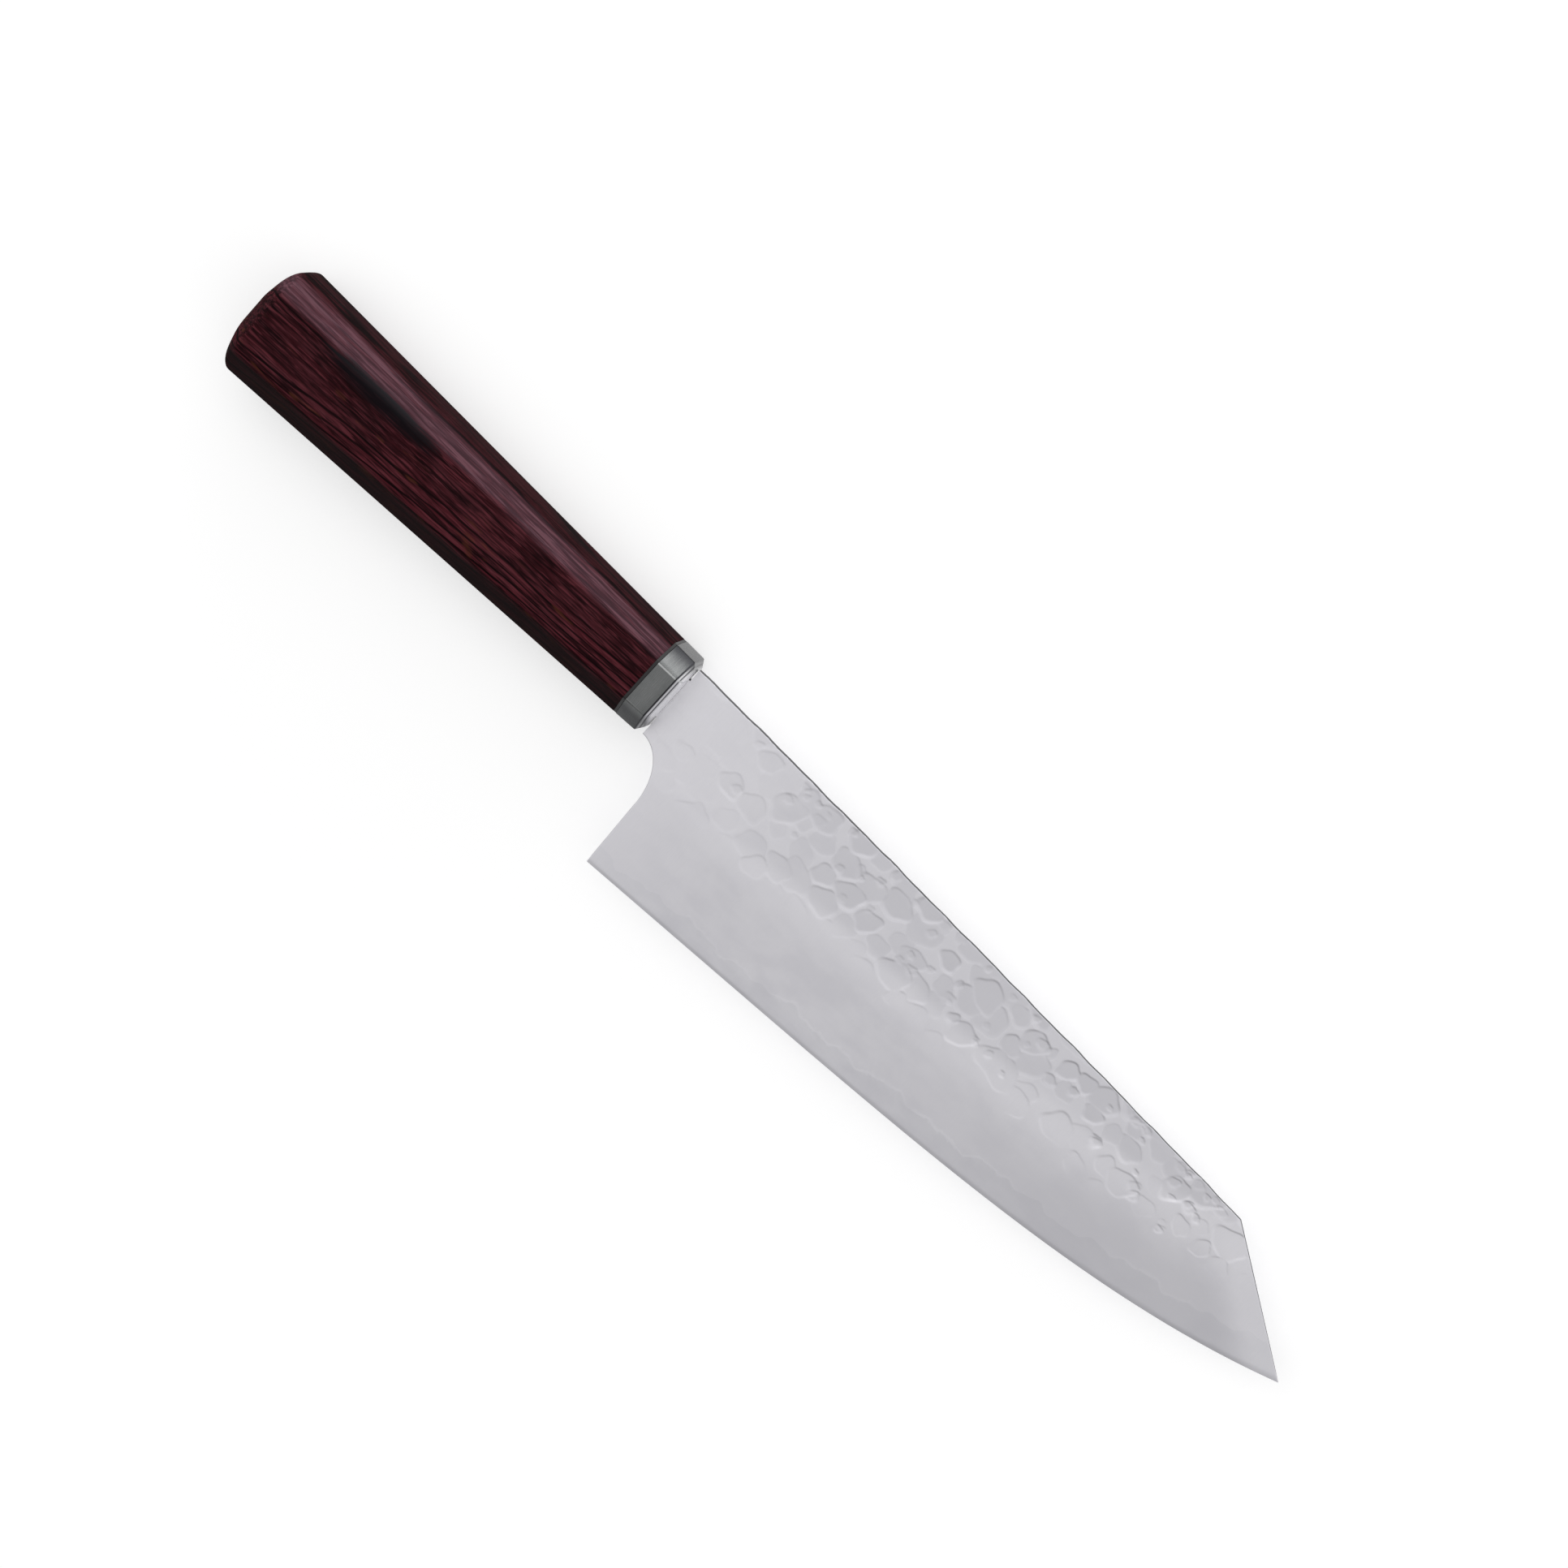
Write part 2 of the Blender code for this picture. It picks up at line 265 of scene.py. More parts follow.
def distance_to_line(x, y, line):
    """Distance from many points to an open line of few points."""
    best = np.full(x.shape, 1.0)
    for (ax, ay), (bx, by) in zip(line, line[1:]):
        length = (bx - ax) ** 2 + (by - ay) ** 2
        share = np.clip(((x - ax) * (bx - ax) + (y - ay) * (by - ay)) / length, 0.0, 1.0)
        best = np.minimum(best, np.hypot(x - ax - share * (bx - ax), y - ay - share * (by - ay)))
    return best


def wave(x, seed, scales):
    """A smooth wavy number along x, made of sine waves, each with a length and a size."""
    rng = np.random.default_rng(seed)
    total = np.zeros_like(x)
    for length, size in scales:
        total += size * np.sin(math.tau * x / length + rng.uniform(0.0, math.tau))
    return total


def top_line(x):
    """The spine, let in a little where hammer marks run out over it."""
    dip = np.clip(wave(x, SPINE_SEED, SPINE_WAVES), -SPINE_INSET, SPINE_INSET)
    return spine_y(x) - SPINE_INSET + dip


def choil_line(x):
    """The lower outline of the neck, as far as the heel's straight edge."""
    share = np.clip((x - choil_x + CHOIL_DEPTH) / CHOIL_DEPTH, 0.0, 1.0)
    return -NECK_DROP - CHOIL_HEIGHT * (1.0 - np.sqrt(1.0 - share**2))


SPLIT = (choil_y + HEEL_DROP) / (HEEL_DROP + float(spine_y(np.array(choil_x))))


def blade_columns():
    """Stations from the heel, 0, to the slanted tip, 1, closer together at both ends."""
    length = corner_x - choil_x
    middle = np.linspace(END_MARGIN, length - END_MARGIN, MIDDLE_COLUMNS)
    return np.concatenate([CLOSE_STEPS, middle, length - CLOSE_STEPS[::-1]]) / length


def neck_columns():
    """Places along the neck, from the ferrule to the end of the choil's curve."""
    arc = np.linspace(0.0, 0.5 * math.pi, CHOIL_COLUMNS)
    return np.concatenate([[shoulder_x], choil_x - CHOIL_DEPTH * (1.0 - np.sin(arc))])


def blade_point(s, t):
    """A point of the side view: s from the heel to the slant, t from the edge to the spine."""
    top_x = choil_x + s * (corner_x - choil_x)
    lean = HEEL_LEAN * (1.0 - s) ** 8 * np.maximum(0.0, 1.0 - t / SPLIT)
    slide = (TIP_SLANT_LENGTH - TIP_EASING) * s**2.2
    x = top_x + slide * (1.0 - t) + lean
    foot_x = top_x + slide + HEEL_LEAN * (1.0 - s) ** 8
    y = edge_y(foot_x) + t * (top_line(top_x) - edge_y(foot_x))
    return x, y


def weld_height(x):
    """Height of the wavy line where the cladding ends, above the cutting edge."""
    half = 0.5 * CORE_THICKNESS
    foot = 0.5 * EDGE_SHOULDER
    rise = (half - foot) / (bevel_top_half(x) - foot)
    height = EDGE_BEVEL + WELD_PLACE * rise * (BEVEL_HEIGHT - EDGE_BEVEL)
    return height + wave(x, WELD_SEED, WELD_WAVES)


def above_weld(x, y):
    return y - edge_y(x) - weld_height(x)


def weld_share(s):
    """The place of the weld line on a column, found by a few steps."""
    t = np.full_like(s, 0.1)
    for _ in range(30):
        x, y = blade_point(s, t)
        t = np.clip(t - above_weld(x, y) / 0.045, 0.002, 0.6)
    return t


def surface_half(x, y, seed, lines):
    """Half the thickness of the finished blade: hammered above, ground below, edges eased."""
    height = y - edge_y(x)
    hammered = forged_half(x, height) - hammer_marks(x, y, seed)
    half = -soft_max(-hammered, -ground_half(x, height), GRIND_BLEND)
    reach = np.full_like(x, EASED_EDGE)
    for line in lines:
        reach = np.minimum(reach, distance_to_line(x, y, line))
    eased = EASED_EDGE - np.sqrt(np.maximum(EASED_EDGE**2 - (EASED_EDGE - reach) ** 2, 0.0))
    return np.maximum(half - eased, 0.3 * half)


def blade_outline():
    """Two open lines for the eased edges: heel, choil and neck, then spine and slanted tip."""
    below = [(HEEL_X, -HEEL_DROP), (choil_x, choil_y)]
    for x in choil_x - CHOIL_DEPTH * (1.0 - np.cos(np.linspace(0.0, 0.5 * math.pi, 24)[1:])):
        below.append((float(x), float(choil_line(np.array(x)))))
    below.append((shoulder_x - 0.001, -NECK_DROP))
    above = [(float(x), float(top_line(np.array(x)))) for x in np.linspace(0.0, corner_x, 90)]
    return below, above + [(tip_x, -TIP_DROP)]


# Meshes


def grid_faces(columns, rows, offset=0):
    faces = []
    for i in range(columns - 1):
        for j in range(rows - 1):
            a = offset + i * rows + j
            faces.append((a, a + rows, a + rows + 1, a + 1))
    return faces


def ring_faces(rings, closed):
    """Faces between rings of equally many points. A closed run joins its last ring to its first."""
    total, count = len(rings), len(rings[0])
    faces = []
    for k in range(total if closed else total - 1):
        here, there = k * count, (k + 1) % total * count
        for i in range(count):
            j = (i + 1) % count
            faces.append((here + i, here + j, there + j, there + i))
    return faces


def new_object(name, rings, faces, made_material, sharp=30.0, fields=None):
    """An object from rings of points. Edges bent by more than the sharp angle, in degrees, stay sharp."""
    mesh = bpy.data.meshes.new(name)
    mesh.from_pydata([tuple(p) for ring in rings for p in ring], [], faces)
    return dress_mesh(name, mesh, made_material, sharp, fields or {})


def dress_mesh(name, mesh, made_material, sharp, fields):
    """Cleans and shades a mesh, gives its points the fields, and lays it down as an object."""
    bm = bmesh.new()
    bm.from_mesh(mesh)
    bmesh.ops.remove_doubles(bm, verts=bm.verts, dist=0.000002)
    bmesh.ops.recalc_face_normals(bm, faces=bm.faces)
    bm.to_mesh(mesh)
    bm.free()
    mesh.materials.append(made_material)
    mesh.shade_smooth()
    mesh.set_sharp_from_angle(angle=math.radians(sharp))
    place = np.empty(3 * len(mesh.vertices))
    mesh.vertices.foreach_get("co", place)
    for field, rule in fields.items():
        values = rule(place[::3], place[1::3])
        mesh.attributes.new(field, "FLOAT", "POINT").data.foreach_set("value", values)
    mesh.transform(LAY)
    made = bpy.data.objects.new(name, mesh)
    bpy.context.scene.collection.objects.link(made)
    return made


def loft(name, rings, made_material, sharp=30.0, fields=None):
    """A solid through rings of points, closed by a face at either end."""
    count = len(rings[0])
    last = (len(rings) - 1) * count
    caps = [tuple(range(count)), tuple(range(last, last + count))]
    return new_object(name, rings, ring_faces(rings, False) + caps, made_material, sharp, fields)


def join(first, others):
    """Adds the others' meshes to the first object's mesh."""
    for other in others:
        bm = bmesh.new()
        bm.from_mesh(first.data)
        bm.from_mesh(other.data)
        bm.to_mesh(first.data)
        bm.free()
        bpy.data.objects.remove(other)
    return first


def tang_bar(name, low_z, high_z, made_material):
    rings = []
    for x, height in ((tang_end_x, TANG_END_HEIGHT), (shoulder_x, TANG_ROOT_HEIGHT)):
        y = 0.5 * height
        rings.append([(x, y, high_z), (x, -y, high_z), (x, -y, low_z), (x, y, low_z)])
    return loft(name, rings, made_material)


def make_cladding(name, hand, seed, made_material):
    """One outer layer: a fine grid over its face, closed behind by walls and an inner face."""
    lines = blade_outline()
    s = blade_columns()
    start = weld_share(s)
    low_rows = np.linspace(0.0, 1.0, LOW_ROWS + 1)[:-1]
    near = CLOSE_STEPS / ROW_SPAN
    high_rows = np.concatenate([near, np.linspace(0.03, 0.97, HIGH_ROWS), 1.0 - near[::-1]])
    ts = [start + (SPLIT - start) * r for r in low_rows]
    ts += [np.full_like(s, SPLIT + (1.0 - SPLIT) * r) for r in high_rows]
    grid = [blade_point(s, t) for t in ts]
    x = np.stack([g[0] for g in grid], axis=1)
    y = np.stack([g[1] for g in grid], axis=1)

    neck_x = neck_columns()[:-1]
    low, high = choil_line(neck_x), top_line(neck_x)
    neck_grid_x = np.repeat(neck_x[:, None], len(high_rows), axis=1)
    neck_grid_y = low[:, None] + (high - low)[:, None] * high_rows[None, :]

    points = []
    for gx, gy in ((x, y), (neck_grid_x, neck_grid_y)):
        flat_x, flat_y = gx.ravel(), gy.ravel()
        z = surface_half(flat_x, flat_y, seed, lines)
        points += list(zip(flat_x, flat_y, hand * z))
    rows, upper = x.shape[1], len(high_rows)
    faces = grid_faces(len(s), rows)
    neck = len(s) * rows
    faces += grid_faces(len(neck_x), upper, neck)
    last = neck + (len(neck_x) - 1) * upper
    first = rows - upper
    for j in range(upper - 1):
        faces.append((last + j, first + j, first + j + 1, last + j + 1))

    mesh = bpy.data.meshes.new(name)
    mesh.from_pydata(points, [], faces)
    bm = bmesh.new()
    bm.from_mesh(mesh)
    rim = [edge for edge in bm.edges if edge.is_boundary]
    walls = bmesh.ops.extrude_edge_only(bm, edges=rim)["geom"]
    inner = 0.5 * CORE_THICKNESS + LAYER_GAP
    for v in (g for g in walls if isinstance(g, bmesh.types.BMVert)):
        v.co.z = hand * min(inner, abs(v.co.z) - THINNEST_WALL)
    bmesh.ops.contextual_create(bm, geom=[e for e in bm.edges if e.is_boundary])
    bm.to_mesh(mesh)
    bm.free()
    fields = {"above_weld": above_weld, "mark_depth": lambda px, py: hammer_marks(px, py, seed)}
    face = dress_mesh(name, mesh, made_material, 35.0, fields)
    half = 0.5 * NECK_THICKNESS
    bar = tang_bar(name + "_tang", *sorted((hand * inner, hand * half)), made_material)
    return join(face, [bar])


def make_core(made_material):
    """The middle layer: it shows as the edge band and as a line along the spine."""
    lines = blade_outline()
    s = blade_columns()
    weld = weld_share(s)
    inner = 0.5 * CORE_THICKNESS
    shares = np.concatenate([[0.0, 0.12, 0.2], np.linspace(0.3, 1.0, 8)])
    sides = []
    for share in shares:
        x, y = blade_point(s, weld * share)
        sides.append((x, y, surface_half(x, y, 0, lines)))
    under_cladding = np.minimum(inner, sides[-1][2] - CORE_STEP)
    sides.append((*blade_point(s, weld), under_cladding))
    sides.append((*blade_point(s, np.ones_like(s)), np.full_like(s, inner)))
    rings = []
    for i in range(len(s)):
        right = [(side[0][i], side[1][i], side[2][i]) for side in sides[1:]]
        ring = [(sides[0][0][i], sides[0][1][i], 0.0)] + right
        ring += [(px, py, -pz) for px, py, pz in reversed(right)]
        rings.append(ring)
    band = loft("blade_core_layer", rings, made_material, 35.0, {"above_weld": above_weld})

    neck_x = neck_columns()
    rings = [
        [(x, low, inner), (x, high, inner), (x, high, -inner), (x, low, -inner)]
        for x, low, high in zip(neck_x, choil_line(neck_x), top_line(neck_x))
    ]
    neck = loft("blade_core_neck", rings, made_material)
    bar = tang_bar("blade_core_tang", -inner, inner, made_material)
    return join(band, [neck, bar])


# Handle


def handle_section(x, inset=0.0):
    along = -x / HANDLE_LENGTH
    height = FRONT_HEIGHT + (BUTT_HEIGHT - FRONT_HEIGHT) * along
    width = FRONT_WIDTH + (BUTT_WIDTH - FRONT_WIDTH) * along
    corner = FRONT_CORNER + (BUTT_CORNER - FRONT_CORNER) * along
    return height - 2.0 * inset, width - 2.0 * inset, corner - (2.0 - math.sqrt(2.0)) * inset


def octagon(x, radius, inset=0.0, scale=1.0, at=None, crown=0.0):
    """The handle's octagon at x, its ridges rounded to a radius, its points placed at another x.

    Its facets fall away a little from their middles by the crown.
    """
    height, width, corner = handle_section(x, inset)
    h, w = 0.5 * height, 0.5 * width
    corners = [(h, w - corner), (h - corner, w), (corner - h, w), (-h, w - corner)]
    corners += [(-y, -z) for y, z in corners]
    runs = []
    for i, here in enumerate(corners):
        here = Vector(here)
        before = (Vector(corners[i - 1]) - here).normalized()
        after = (Vector(corners[(i + 1) % 8]) - here).normalized()
        half_angle = 0.5 * before.angle(after)
        centre = here + (before + after).normalized() * radius / math.sin(half_angle)
        start = here + before * radius / math.tan(half_angle) - centre
        step = (math.pi - 2.0 * half_angle) / RIDGE_STEPS
        runs.append([centre + Matrix.Rotation(step * k, 2) @ start for k in range(RIDGE_STEPS + 1)])
    points = []
    for i, run in enumerate(runs):
        points += run
        a, b = run[-1], runs[(i + 1) % 8][0]
        points += [a.lerp(b, k / FACET_STEPS) for k in range(1, FACET_STEPS)]
    middles = [0.5 * (Vector(corners[i]) + Vector(corners[(i + 1) % 8])) for i in range(8)]
    place = x if at is None else at
    ring = []
    for p in points:
        nearest = min((p - m).length for m in middles)
        p = p * (1.0 - crown * min(nearest / CROWN_REACH, 1.0) ** 2 / max(p.length, 1e-6))
        ring.append((place, scale * p.x, scale * p.y))
    return ring


def on_bore(ring):
    """A ring's points, moved onto the round bore."""
    return [(x, bore * y / math.hypot(y, z), bore * z / math.hypot(y, z)) for x, y, z in ring]


def make_handle(made_material):
    """The wooden body: a long tapering octagon whose ridges soften to the butt, and a domed end."""
    front = -FERRULE_LENGTH - SPACER_THICKNESS
    dome_front = BUTT_DOME - HANDLE_LENGTH

    def ring(x, inset=0.0, scale=1.0, at=None):
        along = min(max((x - front) / (dome_front - front), 0.0), 1.0)
        radius = FRONT_RIDGE_RADIUS + RIDGE_SOFTENING * along**0.5
        return octagon(x, radius, inset, scale, at, FACET_CROWN)

    rings = [ring(front, WOOD_EASED_EDGE), ring(front - 1.2 * WOOD_EASED_EDGE)]
    rings += [ring(float(x)) for x in np.linspace(front - 0.001, dome_front, HANDLE_RINGS)]
    flat = BUTT_FLAT / BUTT_HEIGHT
    for i in range(1, DOME_RINGS + 1):
        turn = 0.5 * math.pi * i / DOME_RINGS
        x = dome_front - BUTT_DOME * math.sin(turn)
        rings.append(ring(dome_front, 0.0, flat + (1.0 - flat) * math.cos(turn), x))
    return loft("handle_wood", rings, made_material, 40.0)


def make_ferrule(made_material):
    """The steel collar, hollow behind its slotted front wall."""
    edge = FERRULE_EASED_EDGE
    slot_y, slot_z = 0.5 * TANG_ROOT_HEIGHT + FIT_GAP, 0.5 * NECK_THICKNESS + FIT_GAP

    def outer(x, inset=0.0, at=None):
        return octagon(x, FERRULE_RIDGE_RADIUS, inset, 1.0, at, FACET_CROWN)

    def slot_ring(x):
        ring = []
        for _, y, z in octagon(x, FERRULE_RIDGE_RADIUS):
            reach = min(slot_y / max(abs(y), 1e-9), slot_z / max(abs(z), 1e-9))
            ring.append((x, y * reach, z * reach))
        return ring

    rings = [on_bore(outer(-FERRULE_WALL)), on_bore(outer(-FERRULE_LENGTH))]
    rings += [outer(-FERRULE_LENGTH, edge), outer(-FERRULE_LENGTH + edge)]
    for x in np.linspace(-FERRULE_LENGTH + 0.001, -FERRULE_BEVEL - 2.0 * edge, 4):
        rings.append(outer(float(x)))
    for share in (0.35, 1.0):
        inset = share * edge * FERRULE_INSET / FERRULE_BEVEL
        rings.append(outer(-FERRULE_BEVEL, inset, -FERRULE_BEVEL + share * edge))
    for share in (0.4, 0.7, 0.93):
        rings.append(outer(-FERRULE_BEVEL, FERRULE_INSET * share, -FERRULE_BEVEL * (1.0 - share)))
    rings.append(outer(-FERRULE_BEVEL, FERRULE_INSET + edge, 0.0))
    rings += [slot_ring(0.0), slot_ring(-FERRULE_WALL)]
    return new_object("ferrule_collar", rings, ring_faces(rings, True), made_material, 24.0)


def make_spacer(made_material):
    """The thin washer between ferrule and wood."""
    front = octagon(-FERRULE_LENGTH, SPACER_RIDGE_RADIUS, SPACER_INSET)
    back = octagon(-FERRULE_LENGTH - SPACER_THICKNESS, SPACER_RIDGE_RADIUS, SPACER_INSET)
    rings = [front, on_bore(front), on_bore(back), back]
    return new_object("spacer_washer", rings, ring_faces(rings, True), made_material)


# Materials

CLADDING_LIGHT = (0.74, 0.73, 0.765)
CLADDING_DARK = (0.685, 0.676, 0.715)
CLADDING_ROUGHNESS = 0.44
CORE_LIGHT = (0.720, 0.712, 0.747)
CORE_DARK = (0.650, 0.642, 0.682)
CORE_ROUGHNESS = 0.42
# Painted dark shade for the blade's rim
RIM_PAINTED_SHADE = (0.11, 0.11, 0.115)
SLANT_BAND = 0.0100

FERRULE_DARK = (0.138, 0.143, 0.143)
FERRULE_LIGHT = (0.184, 0.188, 0.188)
FERRULE_BRUSHING = (0.115, 0.120, 0.122)
# Painted light and shade on the ferrule: highlights on the front bevel, front face and ridges, and shade
# in a line on the bevel, on the top and bottom facets and at the edges
FERRULE_BEVEL_HIGHLIGHT = (0.72, 0.72, 0.73)
FERRULE_SHADE_LINE = (0.16, 0.16, 0.17)
FERRULE_FRONT_HIGHLIGHT = (0.95, 0.95, 0.96)
FERRULE_PAINTED_SHADE = (0.020, 0.020, 0.023)
FERRULE_RIDGE_HIGHLIGHT = (0.55, 0.56, 0.56)
FERRULE_EDGE_SHADE = (0.030, 0.030, 0.034)
SHADE_LINE_X = -0.00060

WOOD_DARK = (0.028, 0.0036, 0.0058)
WOOD_RED = (0.076, 0.0120, 0.0175)
WOOD_PATCH = (0.078, 0.0180, 0.0240)
WOOD_COARSE_PORES = (0.0060, 0.0009, 0.0016)
WOOD_LIGHT_FIBRES = (0.125, 0.034, 0.044)
WOOD_DARK_DASHES = (0.0045, 0.0007, 0.0012)
WOOD_LIGHT_DASHES = (0.140, 0.030, 0.040)
WOOD_GLUE_LINE = (0.0035, 0.0005, 0.0010)
# Painted sheen on the upper bevel, and painted sheen streaks
WOOD_PAINTED_SHEEN = (0.125, 0.060, 0.078)
WOOD_PAINTED_SHEEN_STREAKS = (0.200, 0.088, 0.110)
WOOD_ORANGE_FLECKS = (0.100, 0.030, 0.014)
# Painted shade on the outer facets
WOOD_PAINTED_FACET_SHADE = (0.0040, 0.0007, 0.0011)
SPINDLE_DARK = (0.0040, 0.0030, 0.0046)
# Painted sheen on the spindle's half above the ridge
SPINDLE_PAINTED_SHEEN = (0.0190, 0.0200, 0.0230)
LAYER_THICKNESS = 0.0017
SPINDLE_X = -0.0855
SPINDLE_HALF_LENGTH = 0.0160
SPINDLE_HALF_HEIGHT = 0.0025


class Nodes:
    """A small helper for building a node tree. Its values are numbers or other nodes' sockets."""

    def __init__(self, name):
        self.material = bpy.data.materials.new(name)
        self.material.use_nodes = True
        self.tree = self.material.node_tree
        self.shader = self.tree.nodes["Principled BSDF"]

    def add(self, kind, inputs=None, **settings):
        node = self.tree.nodes.new(kind)
        for key, value in settings.items():
            setattr(node, key, value)
        for key, value in (inputs or {}).items():
            self.feed(node.inputs[key], value)
        return node

    def feed(self, socket, value):
        if isinstance(value, bpy.types.NodeSocket):
            self.tree.links.new(value, socket)
        else:
            socket.default_value = value

    def shade(self, **values):
        """Feeds the shader's sockets, named with underscores for spaces."""
        for name, value in values.items():
            self.feed(self.shader.inputs[name.replace("_", " ")], value)

    def math(self, operation, a, b=0.0, c=0.0, clamp=False):
        node = self.add("ShaderNodeMath", {0: a, 1: b, 2: c}, operation=operation, use_clamp=clamp)
        return node.outputs[0]

    def total(self, first, *others):
        for other in others:
            first = self.math("ADD", first, other)
        return first

    def product(self, first, *others):
        for other in others:
            first = self.math("MULTIPLY", first, other)
        return first

    def apart(self, a, b):
        """The distance between two values."""
        return self.math("ABSOLUTE", self.math("SUBTRACT", a, b))

    def swing(self, noise, size):
        """A noise, moved to swing about zero and scaled to a size."""
        return self.product(self.math("SUBTRACT", noise, 0.5), size)

    def spread(self, value, low, high, to_low=0.0, to_high=1.0, smooth=True):
        """The value, mapped from one range to another and held inside it."""
        node = self.add("ShaderNodeMapRange", {0: value, 1: low, 2: high, 3: to_low, 4: to_high})
        node.interpolation_type = "SMOOTHSTEP" if smooth else "LINEAR"
        return node.outputs[0]

    def mix(self, share, a, b):
        node = self.add("ShaderNodeMix", data_type="RGBA")
        self.feed(node.inputs[0], share)
        self.feed(node.inputs[6], a if isinstance(a, bpy.types.NodeSocket) else (*a, 1.0))
        self.feed(node.inputs[7], b if isinstance(b, bpy.types.NodeSocket) else (*b, 1.0))
        return node.outputs[2]

    def tint(self, colour, other, *shares):
        """The colour, mixed towards another by the product of the shares."""
        return self.mix(self.product(*shares), colour, other)

    def coordinates(self, scale=(1.0, 1.0, 1.0), shift=(0.0, 0.0, 0.0)):
        """The knife's own frame, scaled: the pieces' meshes lie as LAY turned them."""
        source = self.add("ShaderNodeTexCoord").outputs["Object"]
        turned = {0: source, 1: LAY.translation, 2: LAY.to_euler()}
        own = self.add("ShaderNodeMapping", turned, vector_type="TEXTURE").outputs[0]
        return self.add("ShaderNodeMapping", {0: own, 1: shift, 3: scale}).outputs[0]

    def place(self):
        """X, Y and Z in the knife's own frame."""
        return self.add("ShaderNodeSeparateXYZ", {0: self.coordinates()}).outputs

    def noise(self, vector, scale, detail=3.0, roughness=0.5, distortion=0.0):
        inputs = {"Vector": vector, "Scale": scale, "Detail": detail}
        inputs.update({"Roughness": roughness, "Distortion": distortion})
        return self.add("ShaderNodeTexNoise", inputs).outputs["Fac"]

    def attribute(self, name):
        return self.add("ShaderNodeAttribute", attribute_name=name).outputs["Fac"]

    def bump(self, height, distance, strength):
        inputs = {"Height": height, "Distance": distance, "Strength": strength}
        return self.add("ShaderNodeBump", inputs).outputs[0]


def scaled(colour, factor):
    return tuple(factor * c for c in colour)


def height_above_edge(n, x, y):
    """Height above the cutting edge, as edge_y has it."""
    along = n.spread(x, HEEL_X, tip_x, 0.0, 1.0, smooth=False)
    straight = n.product(along, HEEL_DROP - TIP_DROP - BELLY_RISE)
    belly = n.product(n.math("POWER", along, BELLY_POWER), BELLY_RISE)
    return n.math("SUBTRACT", y, n.total(straight, belly, -HEEL_DROP))


def depth_below_slant(n, x, y):
    """How far a point lies below the slanted tip, when the slant is moved back by its light band."""
    across = n.product(n.math("SUBTRACT", tip_x - SLANT_BAND, x), TIP_DROP + CORNER_RISE)
    down = n.product(n.total(y, TIP_DROP), -TIP_SLANT_LENGTH)
    return n.math("DIVIDE", n.total(across, down), TIP_SLANT_LENGTH)


